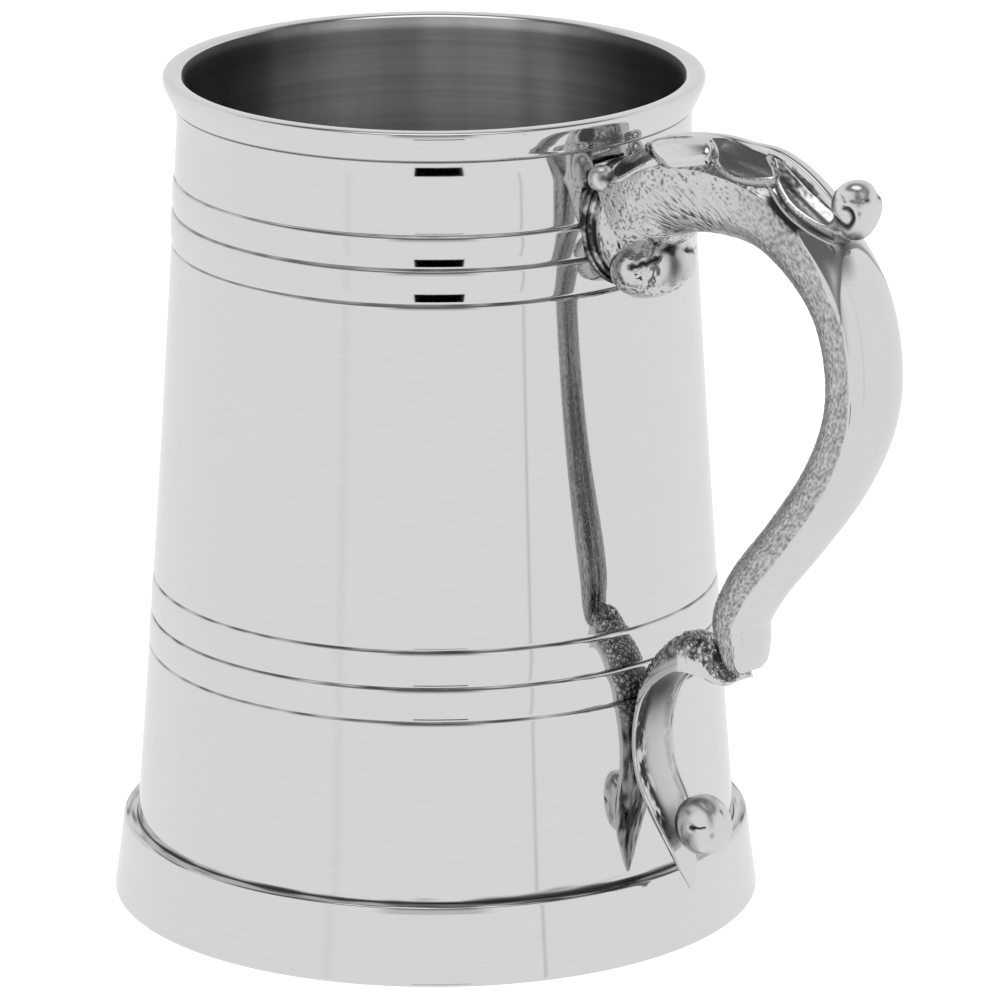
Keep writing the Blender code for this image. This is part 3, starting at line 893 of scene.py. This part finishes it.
CURL_SPIRAL = [
    (-0.95, -0.42), (-0.66, -0.6), (-0.39, -0.62), (-0.21, -0.38), (-0.27, -0.12), (-0.42, 0.04),
    (-0.6, 0.05),
]


def curl_marks(x, y):
    """A spiral that winds in from the left, under a channel. Painted shade darkens the spiral, the channel
    and the bottom of the roll, and a painted dark reflection lies at the channel's end.
    """
    rubbed = fine_noise(np.stack([x, y, 1.0 + 0 * x], axis=-1), 0.3)
    spiral = bump(line_distance(x, y, curve_through(CURL_SPIRAL, 6)), 0.1)
    channel = arc_mark(x, y, (-0.1, -0.35 + 0.08 * rubbed), 0.9, 58, 130, 0.2)
    dark_reflection_hook = bump(np.hypot(x - 0.36, y - 0.38 - 0.1 * rubbed), 0.14)
    low = bump(np.hypot(0.7 * x, y + 0.97), 0.22)
    # painted shade in the spiral, the channel and at the bottom, and a painted dark reflection at the
    # channel's end
    darkening = (1.05 + 0.4 * rubbed) * spiral + 0.9 * dark_reflection_hook + 0.15 * channel + 0.8 * low
    return 0.45 * spiral + 0.3 * channel, darkening


def volute_marks(x, y):
    """A torn eye in an oval face, a hollow beside it and pits under it. The hollow and the right side carry
    painted shade, and the top right a painted shadow under the handle.
    """
    place = np.stack([x, y, np.zeros_like(x)], axis=-1)
    torn = fine_noise(place, 0.12)
    rubbed = fine_noise(place * np.array([2.5, 0.8, 1.0]) + 4.0, 0.35)
    eye = line_mark(x, y + 0.07 * torn, (-0.55, 0.24), (0.08, 0.46), 0.075)
    hollow = arc_mark(x, y, (-0.35, 0.1), 0.8, -50, 60, 0.17)
    ring = arc_mark(x, y, (-0.25, 0.1), 0.66, 105, 235, 0.08)
    low = bump(y + 0.6 + 0.2 * x, 0.22) * smooth(fine_noise(place + 7.0, 0.075), 0.05, 0.35)
    shadow_under_handle = smooth(x + 1.3 * y, 0.95, 1.25)
    right = 0.42 * smooth(x, 0.3, 0.6) + 0.14
    cut = 0.3 * eye + 0.38 * hollow + 0.2 * ring + 0.12 * low + 0.08 * torn
    # painted shade in the hollow and over the right side, and a painted shadow under the handle
    darkening = eye + 0.25 * hollow + 0.4 * ring + 0.55 * low + 0.75 * shadow_under_handle
    return cut, darkening + right + 0.3 * rubbed * right


def boss_marks(x, y):
    """A slit near its middle and a worn border, with a painted dark reflection along its upper right edge.
    """
    rubbed = fine_noise(np.stack([x, y, 3.0 + 0 * x], axis=-1), 0.3)
    slit = line_mark(x, y + 0.03 * rubbed, (-0.55, 0.08), (0.02, 0.17), 0.04)
    slit += bump(np.hypot(x + 0.47, y - 0.07), 0.1)
    dark_reflection_crescent = arc_mark(x, y, (0.0, 0.0), 0.91, -15, 55, 0.06)
    above = arc_mark(x, y, (0.0, 0.0), 0.86, 65, 150, 0.17)
    ring = arc_mark(x, y, (0.0, 0.0), 0.86 + 0.04 * rubbed, 160, 290, 0.05)
    cut = 0.2 * slit + 0.1 * ring
    # a painted dark reflection along the upper right edge
    return cut, slit + 0.9 * dark_reflection_crescent + (0.45 + 0.8 * rubbed) * above + 0.5 * ring


def bead_marks(x, y):
    # painted shade in a hollow across the bead
    hollow = line_mark(x, y, (0.05, 0.3), (0.7, 0.1), 0.33)
    return 0.25 * hollow, 0.75 * hollow


def roll(marks, reach, height, radius, half_width, squareness, drop=0.0):
    """A rolled end lying across the handle, as a grid of (angle round the roll, side to side) with its
    wear_and_shade.

    marks(x, y) gives the depth cut into it and how much darker it is made, for its marks and for painted
    shade and dark reflections. x runs to the right and y up, in shares of its size, over the disc seen from
    45 degrees between its end and the outer side of the handle.
    """
    slope = np.linspace(-pi / 2, pi / 2, ROLL_ACROSS)
    narrowing = np.abs(np.cos(slope)) ** (2 / squareness)
    sideways = np.sign(slope) * np.abs(np.sin(slope)) ** (2 / squareness)
    around, share = np.meshgrid(np.arange(ROLL_AROUND) * 2 * pi / ROLL_AROUND, narrowing, indexing="ij")
    sideways = np.tile(sideways, (ROLL_AROUND, 1))
    x, y = share * np.cos(around), share * np.sin(around)
    ends = np.abs(sideways)
    disc_x = (x * radius - ends * half_width) / np.hypot(radius, half_width)
    faces_out = smooth(x * half_width + ends * radius, -0.2 * radius, 0.5 * radius)
    cut, darkening = marks(disc_x, y)
    form = np.stack([x, sideways, y], axis=-1)
    inward = form / np.linalg.norm(form, axis=-1, keepdims=True)
    grid = form * np.array([radius, half_width, radius]) - inward * (cut * faces_out)[:, :, None]
    grid[:, :, 2] -= drop * np.minimum(y, 0.0) ** 2
    grid[:, :, 0] += reach
    grid[:, :, 2] += height
    return grid, np.clip(1.0 - darkening * faces_out, 0.0, 1.0)


def make_roll(name, node, size, marks, material, slot, across=0.0):
    grid, wear_and_shade = roll(marks, **size)
    grid[:, :, 1] += across
    rings = grid.transpose(1, 0, 2)[1:-1]
    wear_and_shade = loft_wear_and_shade(wear_and_shade.T[1:-1], (wear_and_shade[0, 1], wear_and_shade[0, -2]))
    make_piece(name, *closed_loft(rings), material, slot, [node], wear_and_shade, sharp=75.0)


def make_rolls(rubbed, cast):
    make_roll("thumb_roll", "thumb_curl", CURL, curl_marks, rubbed, "pewter_polished")
    make_roll("volute", "upper_volute", VOLUTE, volute_marks, cast, "pewter_cast")
    make_roll("boss", "scroll_boss", BOSS, boss_marks, rubbed, "pewter_polished")
    for name, across in (("left", BEAD_ACROSS), ("right", -BEAD_ACROSS)):
        make_roll("bead_" + name, "root_bead_" + name, BEAD, bead_marks, rubbed, "pewter_polished", across)


# ---------------------------------------------------------------- pad and lower scroll


def make_pad(material):
    """An oval mound: a flange with a groove round it, soldered to the drum, and the handle's root."""
    profile = [  # (half width, half height, lift off the drum)
        (8.1, 9.2, -0.6), (8.35, 9.45, 0.1), (8.3, 9.4, 0.5), (8.05, 9.15, 0.75), (7.9, 9.0, 0.55),
        (7.8, 8.9, 0.8), (7.72, 8.8, 1.3), (7.5, 8.6, 1.6), (7.35, 8.45, 1.5), (7.25, 8.35, 1.85),
        (7.2, 8.25, 2.5), (7.05, 8.0, 3.4), (6.7, 7.6, 4.3), (6.0, 6.8, 5.1), (4.6, 5.2, 5.6),
        (2.5, 3.0, 5.8), (0.6, 0.7, 5.85),
    ]
    rows = curve_through(profile, 6)
    lift, around = np.meshgrid(rows[:, 2], np.arange(PAD_AROUND) * 2 * pi / PAD_AROUND, indexing="ij")
    across = rows[:, 0:1] * np.cos(around)
    up = PAD_HEIGHT + rows[:, 1:2] * np.sin(around)
    reach = np.sqrt(wall_radius(up) ** 2 - across**2) + lift
    grid = np.stack([reach, across, up], axis=2)
    mound = smooth(lift, 1.7, 2.2)
    texture, wear_and_shade = cast_texture(around * 8.0, lift, 3.0, 1.0)
    grid[:, :, 0] += mound * texture
    grid[:, :, 1] -= mound * texture * np.cos(around)
    raised = np.maximum(bump(rows[:, 0:1] - 8.2, 0.12), bump(rows[:, 0:1] - 7.7, 0.09))
    # the flange is dark, lighter on its two raised rings and in uneven blotches
    flange_blotches = 0.7 * fine_noise(grid + 7.0, 2.4) + 0.4 * fine_noise(grid + 7.0, 0.6)
    flange_tone = np.clip(0.12 + 0.3 * raised + flange_blotches, 0.0, 1.0)
    wear_and_shade = mound * wear_and_shade + (1 - mound) * flange_tone
    make_piece("root_pad", *closed_loft(grid), material, "pewter_cast", ["joint_pad"],
               loft_wear_and_shade(wear_and_shade), sharp=70.0)


def make_lower_scroll(material):
    """A strap, hollow on its polished outer face and rough behind, ending in a pointed tail."""
    rows, normals, run = frames_along(SCROLL_SECTIONS, SCROLL_STEPS)
    along, turn = np.meshgrid(run, np.linspace(-1.0, 1.0, SCROLL_ACROSS), indexing="ij")
    across = rows[:, 2:3] * turn
    hollow = rows[:, 4:5] * (1 - turn**2)
    rim = 0.22 * bump(np.abs(turn) - 0.93, 0.06) * smooth(rows[:, 2:3], 1.0, 3.0)
    swell = 0.16 + 0.84 * np.sqrt(np.clip(1 - turn**2, 0.0, 1.0))
    depth = hollow + rows[:, 3:4] * swell
    face = off_curve(rows, normals, rim - hollow, across)
    plain_back = off_curve(rows, normals, -depth, across)
    grain = grains(plain_back, 0.9)
    lumps = fine_noise(plain_back + 20.0, 1.3)
    at_heel = 1.0 - smooth(along, 9.0, 16.0)
    rough = smooth(1 - np.abs(turn), 0.01, 0.1)
    on_bend = 1.0 - smooth(along, 18.0, 27.0)
    rubbed = fine_noise(plain_back * np.array([0.5, 2.0, 0.5]) + 33.0, 1.2)
    texture = (0.22 * grain - 0.2) * on_bend + at_heel * 0.5 * np.maximum(lumps, -0.2)
    back = off_curve(rows, normals, -depth - rough * texture, across)
    rough_wear = 0.3 + 0.6 * grain + 0.5 * at_heel * lumps
    back_wear = rough_wear * on_bend + (0.6 + 0.8 * rubbed) * (1 - on_bend)
    back_wear = np.clip(back_wear + 1.0 - smooth(along, 2.0, 5.0) + 0.7 * (1 - rough), 0.0, 1.0)
    smears = np.stack([along * 0.35, across, np.full_like(turn, 40.0)], axis=-1)
    stain = smooth(fine_noise(smears, 1.1) + 0.6 * fine_noise(smears, 0.3), -0.6, 0.05)
    border = bump(turn + 0.6, 0.32) + 0.25 * bump(turn - 0.75, 0.16)
    border *= smooth(along, 17.0, 22.0) * (1 - smooth(along, 36.0, 41.0))
    # painted shade where the face turns down at the bend
    bend_shade = bump(along - 17.5, 5.5) * (1 - turn**4)
    middle = 0.26 * (1 - turn**2) * smooth(along, 15.0, 20.0) * (1 - smooth(along, 37.0, 41.0))
    reach, height, radius = BOSS_DARK_RING
    from_boss = np.hypot(face[:, :, 0] - reach, face[:, :, 2] - height) - radius
    by_boss = bump(from_boss, 1.3) * smooth(1 - np.abs(turn), 0.05, 0.3)
    darkening = 0.95 * stain * border + 0.65 * bend_shade + middle + (0.5 + stain) * by_boss
    face_wear_and_shade = np.clip(0.97 - darkening, 0.0, 1.0)
    rings = np.concatenate([face, back[:, ::-1]], axis=1)
    wear_and_shade = np.concatenate([face_wear_and_shade, back_wear[:, ::-1]], axis=1)
    make_piece("lower_strap", *closed_loft(rings), material, "pewter_cast", ["lower_scroll"],
               loft_wear_and_shade(wear_and_shade), sharp=60.0)


# ---------------------------------------------------------------- stage


def make_floor():
    side = 6.0
    mesh = bpy.data.meshes.new("floor")
    corners = [(-side, -side, 0.0), (side, -side, 0.0), (side, side, 0.0), (-side, side, 0.0)]
    mesh.from_pydata(corners, [], [(0, 1, 2, 3)])
    floor = bpy.data.objects.new("floor", mesh)
    bpy.context.scene.collection.objects.link(floor)
    material, nodes = new_material("floor_white")
    fibre = nodes.noise(nodes.stretched((1.0, 1.0, 1.0)), 400.0)
    grey = nodes.ramp(fibre, 0.3, 0.7, 0.88, 0.92)
    shader = nodes.add("ShaderNodeBsdfPrincipled", Roughness=0.8, Emission_Strength=FLOOR_LIGHT)
    nodes.feed(shader, "Base Color", nodes.grey(grey))
    nodes.feed(shader, "Emission Color", (1.0, 1.0, 1.0, 1.0))
    nodes.output(shader)
    mesh.materials.append(material)
    floor.visible_glossy = False


def make_light():
    """A white tent, open to a darker room on the camera's side, with a black flag low in front."""
    world = bpy.data.worlds.new("tent")
    bpy.context.scene.world = world
    world.use_nodes = True
    nodes = Nodes(world.node_tree)
    direction = nodes.add("ShaderNodeTexCoord").outputs["Generated"]
    front = (sin(CAMERA_AZIMUTH), -cos(CAMERA_AZIMUTH), 0.0)
    beside = (cos(CAMERA_AZIMUTH), sin(CAMERA_AZIMUTH), 0.0)

    def along(axis):
        dot = {"operation": "DOT_PRODUCT"}
        return nodes.add("ShaderNodeVectorMath", dot, i0=direction, i1=axis).outputs["Value"]

    def rise(angle, low, high, start=0.0, end=1.0):
        """A smooth rise or fall from start to end between two angles in degrees."""
        return nodes.ramp(angle, radians(low), radians(high), start, end)

    def off(degrees):
        return nodes.maths("ABSOLUTE", nodes.maths("SUBTRACT", azimuth, radians(degrees)))

    azimuth = nodes.maths("ARCTAN2", along(beside), along(front))
    off_front = nodes.maths("ABSOLUTE", azimuth)
    elevation = nodes.maths("ARCSINE", along((0.0, 0.0, 1.0)))
    opening = rise(off_front, 13, 24, 1.0, 0.0)
    room = nodes.maths("MULTIPLY", opening, rise(elevation, -1, 2))
    room_light = rise(elevation, 8, 45, ROOM_LIGHT_LOW, ROOM_LIGHT_HIGH)
    overhead = rise(elevation, 38, 56)
    lamp = rise(elevation, 65, 76)
    behind = rise(off_front, 120, 180, WHITE_LIGHT, BACK_LIGHT)
    flag = rise(off(FLAG_AZIMUTH), 10.8, 11.4, 1.0, 0.0)
    flag = nodes.maths("MULTIPLY", flag, rise(elevation, -32, -31))
    flag = nodes.maths("MULTIPLY", flag, rise(elevation, -21, -20, 1.0, 0.0))
    seam = rise(off(SEAM_AZIMUTH), 0.4, 0.9, 0.22, 0.0)
    fold = rise(off(FOLD_AZIMUTH), 0.5, 3.0, 0.05, 0.0)

    def mixed(share, a, b):
        node = nodes.add("ShaderNodeMix", {"data_type": "FLOAT"}, i0=share, i2=a, i3=b)
        return node.outputs[0]

    light = mixed(room, behind, room_light)
    light = mixed(overhead, light, CEILING_LIGHT)
    light = mixed(lamp, light, LAMP_LIGHT)
    creases = nodes.maths("MULTIPLY", nodes.maths("ADD", seam, fold), rise(elevation, -24, -18))
    light = mixed(creases, light, 0.0)
    light = mixed(flag, light, 0.0)
    seen = nodes.add("ShaderNodeLightPath").outputs["Is Camera Ray"]
    light = mixed(seen, light, WHITE_LIGHT)
    background = nodes.add("ShaderNodeBackground", Strength=light)
    nodes.feed(background, "Color", (1.0, 1.0, 1.0, 1.0))
    nodes.output(background, "ShaderNodeOutputWorld")


def make_camera():
    data = bpy.data.cameras.new("camera")
    data.lens = CAMERA_LENS
    data.sensor_width = 36.0
    data.clip_start = 0.1
    data.clip_end = 20.0
    camera = bpy.data.objects.new("camera", data)
    bpy.context.scene.collection.objects.link(camera)
    back = Vector((
        sin(CAMERA_AZIMUTH) * cos(CAMERA_ELEVATION),
        -cos(CAMERA_AZIMUTH) * cos(CAMERA_ELEVATION),
        sin(CAMERA_ELEVATION),
    ))
    camera.location = CAMERA_TARGET + back * CAMERA_DISTANCE
    camera.rotation_euler = (-back).to_track_quat("-Z", "Y").to_euler()
    bpy.context.scene.camera = camera


# ---------------------------------------------------------------- build

polished_pewter = pewter("pewter_polished_bright", bright=0.58, dull=0.06, smoothest=0.035,
                         roughest=0.3, bump_strength=0.03)
rubbed_pewter = pewter("pewter_polished_by_hand", bright=0.58, dull=0.05, smoothest=0.2,
                       roughest=0.3, bump_strength=0.05)
cast_pewter = pewter("pewter_cast_worn", bright=0.57, dull=0.035, smoothest=0.07,
                     roughest=0.42, bump_strength=0.15)
inside_pewter = spun_pewter()

make_camera()
make_drum(polished_pewter, inside_pewter)
make_lip(polished_pewter, inside_pewter)
make_foot(polished_pewter)
make_base(inside_pewter)
make_handle_half("handle_left", "handle_shell_left", 1, cast_pewter)
make_handle_half("handle_right", "handle_shell_right", -1, cast_pewter)
make_leaf(polished_pewter)
make_rolls(rubbed_pewter, cast_pewter)
make_pad(cast_pewter)
make_lower_scroll(cast_pewter)
make_floor()
make_light()
bpy.context.scene.view_settings.view_transform = "Standard"
